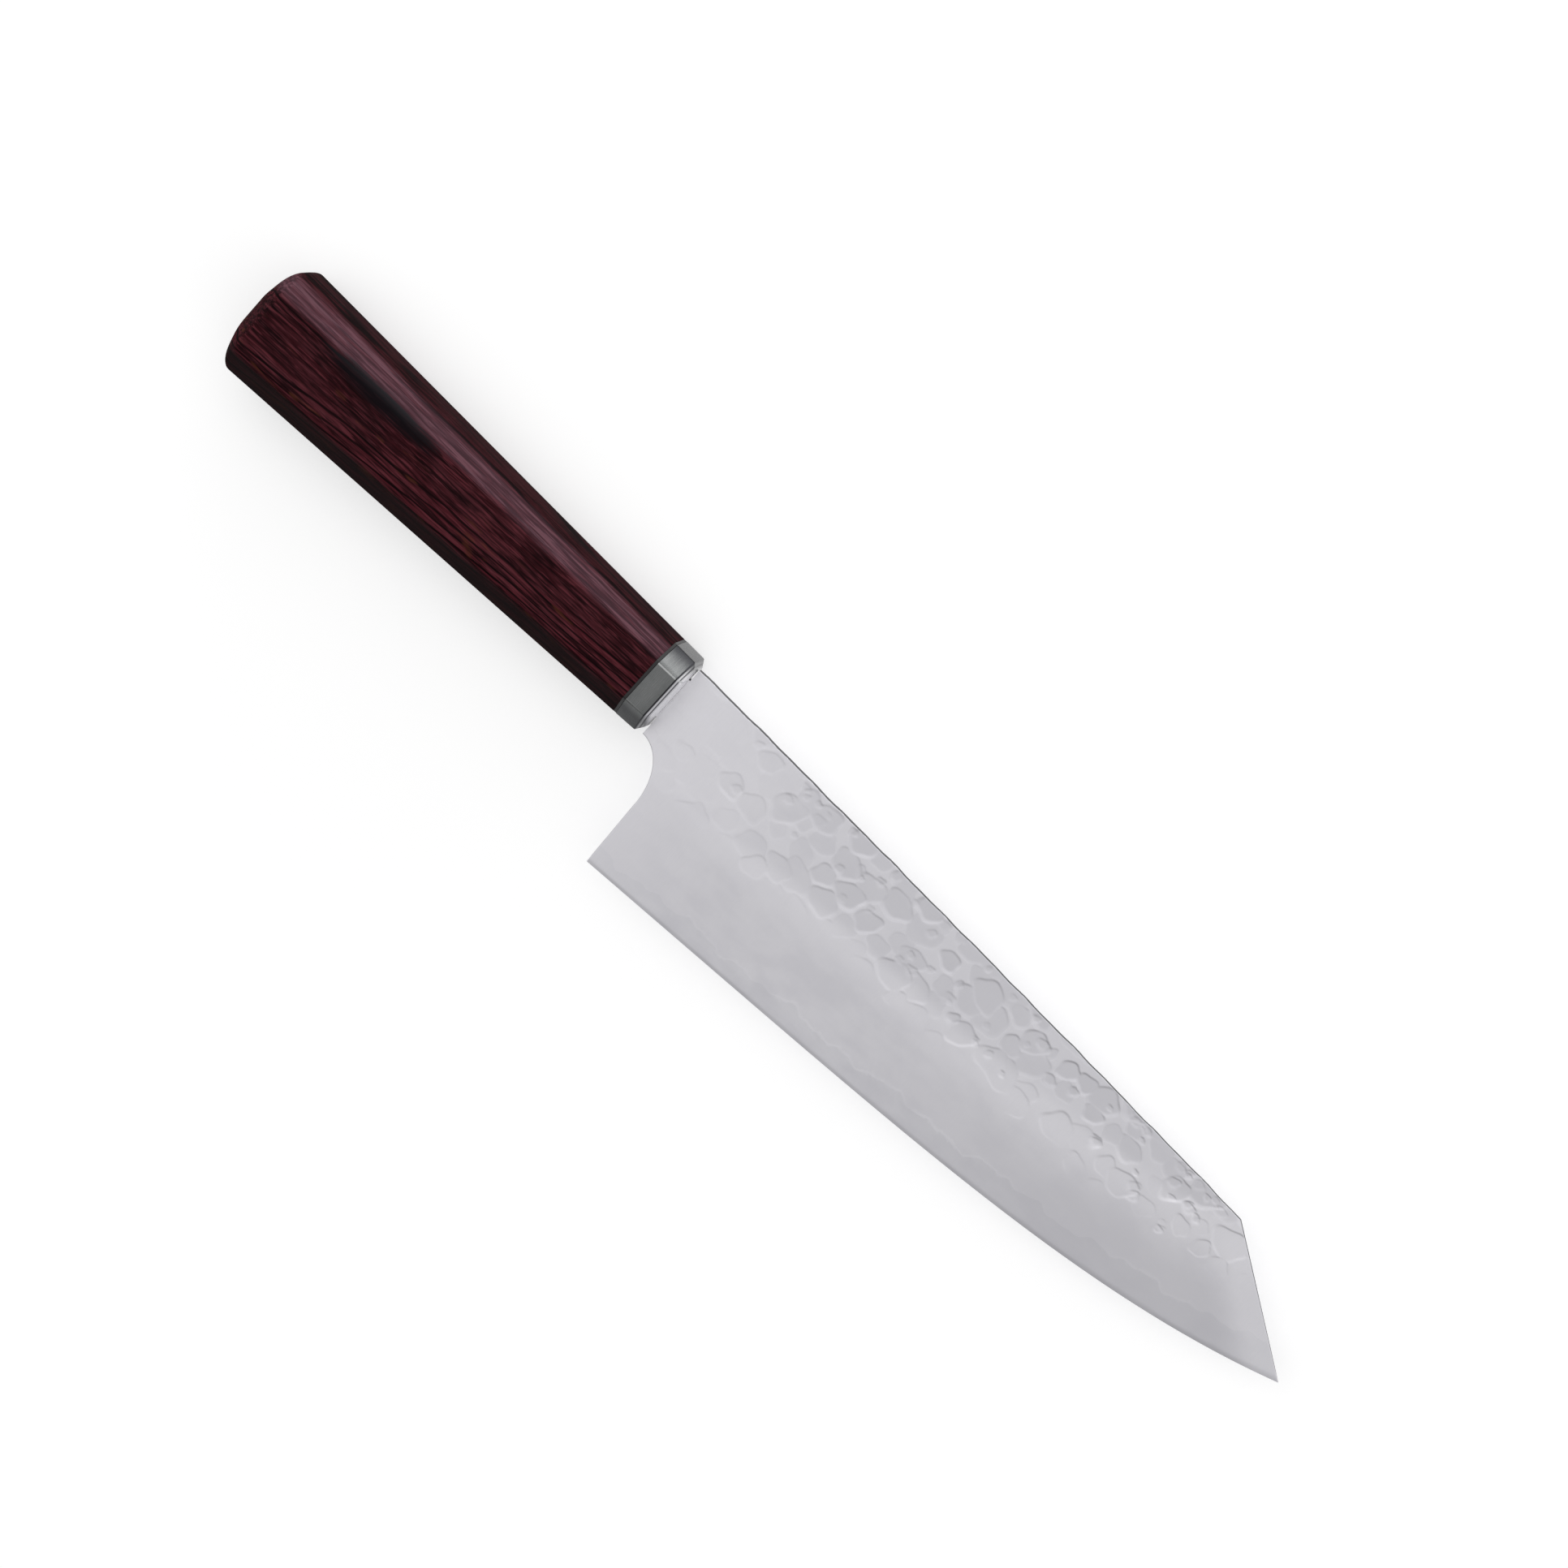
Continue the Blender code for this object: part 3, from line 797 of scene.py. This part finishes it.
def steel_blade(name, light, dark, roughness):
    """Hazy satin steel: fine scratches up from the edge, soft clouds, painted highlights and shade, and a
    painted dark rim all round.
    """
    n = Nodes(name)
    x, y, _ = n.place()
    height = height_above_edge(n, x, y)
    lighter = scaled(light, 1.08)
    clouds = n.noise(n.coordinates(), 55.0, 4.0, 0.55, 0.4)
    blotches = n.noise(n.coordinates((0.7, 1.6, 1.0)), 210.0, 3.0, 0.5, 0.3)
    fine = n.noise(n.coordinates((9.0, 0.35, 9.0)), 900.0, 2.0, 0.6)
    grit = n.noise(n.coordinates(), 2600.0, 2.0, 0.6)
    tone = n.total(n.product(clouds, 0.65), n.product(blotches, 0.35))
    colour = n.mix(n.spread(tone, 0.36, 0.64), dark, light)
    upper = n.spread(height, BEVEL_HEIGHT, BEVEL_HEIGHT + 0.004)
    colour = n.tint(colour, scaled(dark, 0.95), upper, n.spread(x, 0.020, 0.060), 0.60)

    # Hammer marks: painted highlight on the ridges between them, painted shade in their bottoms
    marks = n.attribute("mark_depth")
    hammered = n.spread(height, BEVEL_HEIGHT - 0.0030, BEVEL_HEIGHT + 0.0010)
    colour = n.tint(colour, lighter, n.spread(marks, 0.000022, 0.000004), hammered, 0.40)
    colour = n.tint(colour, scaled(dark, 0.90), n.spread(marks, 0.00003, 0.00010), hammered, 0.28)

    # Painted highlight in a band along the top of the ground bevel, and painted light over the heel
    band_foot = n.spread(height, BEVEL_HEIGHT - 0.0085, BEVEL_HEIGHT - 0.0020)
    band_top = n.spread(height, BEVEL_HEIGHT + 0.0035, BEVEL_HEIGHT - 0.0005)
    band = n.product(band_foot, band_top, 0.6)
    colour = n.mix(n.math("MAXIMUM", band, n.spread(x, 0.040, -0.005)), colour, lighter)

    # Light wisps along the weld line
    ragged = n.noise(n.coordinates((0.8, 1.0, 1.0)), 800.0, 4.0, 0.6, 0.6)
    weld = n.total(n.attribute("above_weld"), n.swing(ragged, 0.0022))
    wisp = n.product(n.spread(weld, 0.00075, 0.00015), n.spread(weld, -0.00045, 0.0))
    broken = n.spread(clouds, 0.40, 0.60)
    colour = n.tint(colour, lighter, wisp, broken, n.spread(x, 0.020, 0.120, 0.25, 0.85))

    # Painted shade over the lower bevel towards the tip, and the light tip past it
    below_slant = depth_below_slant(n, x, y)
    painted_bevel_shade = n.product(n.spread(x, 0.060, 0.150), n.spread(height, 0.0190, 0.0090))
    colour = n.tint(colour, scaled(dark, 0.88), painted_bevel_shade, n.spread(below_slant, -0.0010, 0.0080), 0.65)
    by_slant = n.product(n.spread(below_slant, 0.0030, -0.0030), n.spread(x, 0.150, 0.165))
    colour = n.tint(colour, lighter, by_slant, 0.7)

    colour = n.tint(colour, scaled(dark, 0.82), n.spread(fine, 0.35, 0.75), 0.08)
    # Painted shade: faces turned from the flats, at the spine and the edges, turn dark, rougher and less
    # metallic
    normal = n.add("ShaderNodeTexCoord").outputs["Normal"]
    facing = n.add("ShaderNodeSeparateXYZ", {0: normal}).outputs[2]
    rim = n.spread(n.math("ABSOLUTE", facing), 0.90, 0.50)
    rough = n.total(n.swing(grit, 0.10), roughness, n.swing(clouds, 0.06), n.product(rim, 0.3))
    relief = n.total(n.product(fine, 0.6), n.product(grit, 0.4))
    n.shade(Base_Color=n.mix(rim, colour, RIM_PAINTED_SHADE), Roughness=rough)
    n.shade(Metallic=n.spread(rim, 0.0, 1.0, 1.0, 0.25, smooth=False))
    n.shade(Normal=n.bump(relief, 0.000004, 0.5))
    return n.material


def steel_ferrule():
    """Satin steel, brushed around, with painted highlights on its ridges and bright front, and painted
    shade on its top and bottom and in dark lines at its edges.
    """
    n = Nodes("ferrule_satin_steel")
    x, y, _ = n.place()
    level = n.math("DIVIDE", y, 0.5 * FRONT_HEIGHT)
    around = n.noise(n.coordinates((30.0, 1.0, 1.0)), 320.0, 3.0, 0.6)
    clouds = n.noise(n.coordinates(), 180.0, 3.0, 0.5)
    colour = n.mix(n.spread(clouds, 0.3, 0.7), FERRULE_DARK, FERRULE_LIGHT)
    colour = n.tint(colour, FERRULE_BRUSHING, n.spread(around, 0.4, 0.7), 0.25)

    # Painted highlight on the front bevel and the front face, with a painted shade line between them
    bevel = n.spread(x, -FERRULE_BEVEL + 0.00010, -FERRULE_BEVEL + 0.00025)
    colour = n.mix(bevel, colour, FERRULE_BEVEL_HIGHLIGHT)
    shade_line = n.spread(n.apart(x, SHADE_LINE_X), 0.00016, 0.00008)
    colour = n.mix(shade_line, colour, FERRULE_SHADE_LINE)
    colour = n.mix(n.spread(x, -0.00035, -0.00022), colour, FERRULE_FRONT_HIGHLIGHT)

    # Painted shade on the top and bottom facets
    top, bottom = n.spread(level, 0.60, 1.0, 0.0, 0.92), n.spread(level, -0.45, -0.75, 0.0, 0.72)
    colour = n.mix(n.math("MAXIMUM", top, bottom), colour, FERRULE_PAINTED_SHADE)
    # Painted highlight along the side facet's ridges, stronger above
    from_ridge = n.apart(n.math("ABSOLUTE", level), 1.0 - 2.0 * FRONT_CORNER / FRONT_HEIGHT)
    ridge_highlight = n.product(n.spread(from_ridge, 0.030, 0.008), n.spread(level, -0.5, 0.5, 0.25, 0.75))
    colour = n.tint(colour, FERRULE_RIDGE_HIGHLIGHT, ridge_highlight, n.spread(around, 0.2, 0.6, 0.6, 1.0))

    # Painted shade lines at the bevel's outer ring and along the back edge
    edge_shade = n.spread(n.apart(x, -FERRULE_BEVEL - 0.00005), 0.00022, 0.00008)
    colour = n.mix(edge_shade, colour, FERRULE_EDGE_SHADE)
    back = n.spread(x, -FERRULE_LENGTH + 0.00020, -FERRULE_LENGTH)
    rough = n.spread(around, 0.2, 0.8, 0.24, 0.32, smooth=False)
    n.shade(Base_Color=n.mix(back, colour, FERRULE_EDGE_SHADE), Metallic=1.0, Roughness=rough)
    n.shade(Normal=n.bump(around, 0.000006, 0.5))
    return n.material


def laminated_wood():
    """Dyed veneers, pressed and polished: tilted layers, fine fibres, a dark spindle on the ridge, a
    painted sheen on the upper bevel and painted shade on the outer facets.
    """
    n = Nodes("dyed_laminated_wood_grain")
    x, y, z = n.place()
    drift = n.noise(n.coordinates((0.22, 1.0, 1.0)), 70.0, 3.0, 0.5)
    drift_fine = n.noise(n.coordinates((0.10, 1.0, 1.0)), 420.0, 3.0, 0.55)
    fibres = n.noise(n.coordinates((0.030, 1.0, 1.0)), 4200.0, 3.0, 0.6)
    coarse = n.noise(n.coordinates((0.045, 1.0, 1.0)), 1500.0, 4.0, 0.6)
    dashes = n.noise(n.coordinates((0.075, 1.0, 1.0), (0.2, 0.9, 0.4)), 1900.0, 2.0, 0.55)
    patches = n.noise(n.coordinates((0.25, 1.0, 1.0), (0.1, 0.4, 0.2)), 260.0, 3.0, 0.55)
    flecks = n.noise(n.coordinates((0.22, 1.0, 1.0), (0.3, 0.1, 0.7)), 560.0, 2.0, 0.5)

    # Veneers fan out to the butt and wander. Each has its own shade.
    fan = n.math("MULTIPLY_ADD", n.total(x, 0.5 * HANDLE_LENGTH), 4.5, 1.0)
    depth = n.product(n.math("SUBTRACT", y, 0.0068), fan)
    depth = n.total(depth, n.product(z, 0.12), n.swing(drift, 0.0060), n.swing(drift_fine, 0.0009))
    layer = n.math("DIVIDE", depth, LAYER_THICKNESS)
    which = n.math("FLOOR", layer)
    shade = n.add("ShaderNodeTexWhiteNoise", {"W": which}, noise_dimensions="1D").outputs["Value"]

    base = n.mix(n.spread(shade, 0.1, 0.9), WOOD_DARK, WOOD_RED)
    base = n.tint(base, WOOD_PATCH, n.spread(patches, 0.42, 0.64), 0.60)
    base = n.tint(base, WOOD_COARSE_PORES, n.spread(coarse, 0.46, 0.62), 0.80)
    base = n.tint(base, WOOD_LIGHT_FIBRES, n.spread(fibres, 0.50, 0.70), 0.45)
    base = n.tint(base, WOOD_DARK_DASHES, n.spread(dashes, 0.53, 0.66), 0.75)
    base = n.tint(base, WOOD_LIGHT_DASHES, n.spread(dashes, 0.45, 0.34), 0.50)
    line = n.spread(n.apart(n.math("FRACT", layer), 0.5), 0.20, 0.05)
    line = n.product(line, n.spread(shade, 0.15, 0.6, 0.3, 1.0))
    base = n.tint(base, WOOD_GLUE_LINE, line, 0.95)

    # The upper bevel carries a painted pink sheen, the outer facets painted shade. Level is 1 at the top.
    half_slope = 0.5 * (FRONT_HEIGHT - BUTT_HEIGHT) / HANDLE_LENGTH
    level = n.math("DIVIDE", y, n.math("MULTIPLY_ADD", x, half_slope, 0.5 * FRONT_HEIGHT))
    bevel = n.product(n.spread(level, 0.50, 0.64), n.spread(level, 0.95, 0.84))
    base = n.tint(base, WOOD_PAINTED_SHEEN, bevel, n.spread(coarse, 0.58, 0.42, 0.36, 0.70))
    base = n.tint(base, WOOD_PAINTED_SHEEN_STREAKS, bevel, n.spread(coarse, 0.47, 0.39), 0.45)
    fleck = n.product(n.spread(level, 0.30, -0.20), n.spread(flecks, 0.61, 0.72))
    base = n.tint(base, WOOD_ORANGE_FLECKS, fleck, 0.45)
    # Painted shade on the top and bottom facets
    bottom, top = n.spread(level, -0.52, -0.72), n.spread(level, 0.86, 0.97, 0.0, 0.70)
    base = n.tint(base, WOOD_PAINTED_FACET_SHADE, n.math("MAXIMUM", bottom, top), 0.85)

    # The dark spindle lies along the ridge, on the right side alone. Above the ridge it carries a painted
    # grey sheen over its black.
    ridge = n.math("MULTIPLY_ADD", x, -0.0229, 0.0033)
    from_ridge = n.total(n.math("SUBTRACT", y, ridge), n.swing(drift, 0.0035))
    across = n.math("DIVIDE", from_ridge, SPINDLE_HALF_HEIGHT)
    along = n.math("DIVIDE", n.math("SUBTRACT", x, SPINDLE_X), SPINDLE_HALF_LENGTH)
    outward = n.total(n.product(across, across), n.product(along, along), n.swing(coarse, 3.0))
    spindle = n.product(n.spread(outward, 1.45, 0.25), n.spread(z, 0.0, 0.004))
    spindle_dark_and_sheen = n.mix(n.spread(level, 0.40, 0.62), SPINDLE_DARK, SPINDLE_PAINTED_SHEEN)
    base = n.tint(base, spindle_dark_and_sheen, spindle, 0.92)

    facing = n.add("ShaderNodeLayerWeight", {"Blend": 0.5}).outputs["Facing"]
    rough = n.spread(fibres, 0.3, 0.75, 0.36, 0.46, smooth=False)
    rough = n.total(rough, n.spread(facing, 0.25, 0.75, 0.0, 0.45))
    relief = n.total(n.product(fibres, 0.7), n.product(line, -0.6))
    n.shade(Base_Color=base, Roughness=rough, Specular_IOR_Level=0.035)
    n.shade(Normal=n.bump(relief, 0.000014, 0.6))
    return n.material


def plain(name, low, high, scale, roughness, bump=0.00001, stretch=(1.0, 1.0, 1.0)):
    """A dull material with two mottled tones, for the spacer and the hidden pieces."""
    n = Nodes(name)
    mottle = n.noise(n.coordinates(stretch), scale, 4.0, 0.6)
    n.shade(Base_Color=n.mix(n.spread(mottle, 0.3, 0.7), low, high))
    n.shade(Roughness=n.spread(mottle, 0.2, 0.8, roughness - 0.06, roughness + 0.06))
    n.shade(Normal=n.bump(mottle, bump, 0.5))
    return n.material


# Pieces

cladding = (CLADDING_LIGHT, CLADDING_DARK, CLADDING_ROUGHNESS)
cladding_right = steel_blade("cladding_satin_steel_right", *cladding)
cladding_left = steel_blade("cladding_satin_steel_left", *cladding)
core_steel = steel_blade("core_satin_steel", CORE_LIGHT, CORE_DARK, CORE_ROUGHNESS)
black_fibre = plain("black_fibre_washer", (0.006, 0.006, 0.007), (0.014, 0.013, 0.014), 900.0, 0.5)

hammered_right = make_cladding("blade_hammered_right", 1.0, RIGHT_SEED, cladding_right)
hammered_left = make_cladding("blade_hammered_left", -1.0, LEFT_SEED, cladding_left)
pieces = [
    (hammered_right, "blade_cladding_right", "cladding_steel"),
    (hammered_left, "blade_cladding_left", "cladding_steel"),
    (make_core(core_steel), "blade_core", "core_steel"),
    (make_handle(laminated_wood()), "handle_body", "laminated_wood"),
    (make_ferrule(steel_ferrule()), "ferrule", "ferrule_steel"),
    (make_spacer(black_fibre), "ferrule_spacer", "spacer_fibre"),
]
for piece, node, slot in pieces:
    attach(piece, "root")
    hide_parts(node)

# The pieces inside keep their CAD shape
dowel_tones = (0.38, 0.24, 0.12), (0.58, 0.41, 0.24)
adhesive_tones = (0.50, 0.38, 0.18), (0.66, 0.55, 0.32)
along_grain = (0.05, 1.0, 1.0)
hidden = {
    "tang_dowel": plain("dowel_wood_grain", *dowel_tones, 900.0, 0.65, 0.00003, along_grain),
    "tang_adhesive": plain("cured_adhesive_amber", *adhesive_tones, 500.0, 0.35),
}
for node, made_material in hidden.items():
    for material_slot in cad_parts[node].material_slots:
        material_slot.material = made_material


# Stage

FLOOR_WHITE = 0.66
FLOOR_GLOW = 0.50
FLOOR_HALF = 6.0
FLOOR_Z = -0.0002

# World light by the Y of its direction: two values of Y, then the light at each. The two multiply.
WORLD_LIGHT = ((-0.70, 0.00, 0.33, 0.93), (0.15, 0.90, 1.00, 0.50))

# Name, direction, distance, size and power
LAMPS = (
    ("key", (-0.35, 0.75, 0.95), 1.6, (2.0, 1.6), 2.6),
    ("side", (-0.75, -0.2, 0.9), 1.9, (2.0, 2.0), 2.6),
    ("strip", (-0.15, 0.97, 0.14), 1.2, (1.6, 0.26), 4.8),
)

# Camera: angles in degrees from the blade's normal, then a roll and the knife's turn in the picture
VIEW_TO_TIP = 3.5
VIEW_TO_SPINE = 12.0
VIEW_ROLL = 0.38
VIEW_TURN = 43.0
VIEW_AIM = (0.0348, -0.0080, 0.0)
VIEW_DISTANCE = 1.1
LENS = 120.93
SHIFT = (0.0096, 0.0355)


def make_floor():
    """A pale floor. Cameras, metal and glass see it a little brighter, up to white."""
    n = Nodes("pale_floor")
    path = n.add("ShaderNodeLightPath").outputs
    seen = n.math("ADD", path["Is Camera Ray"], path["Is Glossy Ray"])
    seen = n.math("ADD", seen, path["Is Transmission Ray"], clamp=True)
    n.shade(Base_Color=(FLOOR_WHITE, FLOOR_WHITE, FLOOR_WHITE, 1.0), Roughness=0.9)
    n.shade(Specular_IOR_Level=0.0, Emission_Color=(1.0, 1.0, 1.0, 1.0))
    n.shade(Emission_Strength=n.product(seen, FLOOR_GLOW))
    corners = [(-1.0, -1.0), (1.0, -1.0), (1.0, 1.0), (-1.0, 1.0)]
    mesh = bpy.data.meshes.new("floor")
    mesh.from_pydata([(FLOOR_HALF * x, FLOOR_HALF * y, FLOOR_Z) for x, y in corners], [], [(0, 1, 2, 3)])
    mesh.materials.append(n.material)
    made = bpy.data.objects.new("floor", mesh)
    bpy.context.scene.collection.objects.link(made)


def make_world():
    """A pale studio, brightest overhead, darker low on the spine's side and darkest on the edge's."""
    world = bpy.data.worlds.new("studio")
    bpy.context.scene.world = world
    world.use_nodes = True
    tree = world.node_tree
    background = tree.nodes["Background"]
    source = tree.nodes.new("ShaderNodeTexCoord")
    split = tree.nodes.new("ShaderNodeSeparateXYZ")
    tree.links.new(source.outputs["Generated"], split.inputs[0])
    product = tree.nodes.new("ShaderNodeMath")
    product.operation = "MULTIPLY"
    for side, limits in enumerate(WORLD_LIGHT):
        spread = tree.nodes.new("ShaderNodeMapRange")
        spread.interpolation_type = "SMOOTHSTEP"
        for i, value in enumerate(limits, start=1):
            spread.inputs[i].default_value = value
        tree.links.new(split.outputs[1], spread.inputs[0])
        tree.links.new(spread.outputs[0], product.inputs[side])
    tree.links.new(product.outputs[0], background.inputs["Color"])
    background.inputs["Strength"].default_value = 1.0


def area_light(name, direction, distance, size, power):
    """A rectangular lamp, turned to the middle of the knife."""
    lamp = bpy.data.lights.new(name, "AREA")
    lamp.shape = "RECTANGLE"
    lamp.size, lamp.size_y = size
    lamp.energy = power
    made = bpy.data.objects.new(name, lamp)
    bpy.context.scene.collection.objects.link(made)
    towards = Vector(direction).normalized()
    made.location = towards * distance
    made.rotation_mode = "QUATERNION"
    made.rotation_quaternion = towards.to_track_quat("Z", "Y")


def turned(right, up, degrees):
    """The picture's two axes, turned in its plane."""
    cos, sin = math.cos(math.radians(degrees)), math.sin(math.radians(degrees))
    return cos * right + sin * up, cos * up - sin * right


def make_camera():
    """The photograph's view, from a little to the spine's side of the blade's normal."""
    data = bpy.data.cameras.new("camera")
    made = bpy.data.objects.new("camera", data)
    bpy.context.scene.collection.objects.link(made)
    to_tip, to_spine = math.tan(math.radians(VIEW_TO_TIP)), math.tan(math.radians(VIEW_TO_SPINE))
    back = Vector((to_tip, to_spine, 1.0)).normalized()
    right = (Vector((1.0, 0.0, 0.0)) - back.x * back).normalized()
    right, up = turned(right, back.cross(right), VIEW_ROLL)
    right, up = turned(right, up, VIEW_TURN)
    place = Vector(VIEW_AIM) + VIEW_DISTANCE * back
    axes = Matrix((right, up, back)).transposed().to_4x4()
    made.matrix_world = LAY @ Matrix.Translation(place) @ axes
    data.sensor_width = 36.0
    data.lens = LENS
    data.shift_x, data.shift_y = SHIFT
    data.clip_start, data.clip_end = 0.01, 50.0
    bpy.context.scene.camera = made


make_floor()
make_world()
for lamp_values in LAMPS:
    area_light(*lamp_values)
make_camera()
bpy.context.scene.view_settings.view_transform = "Standard"
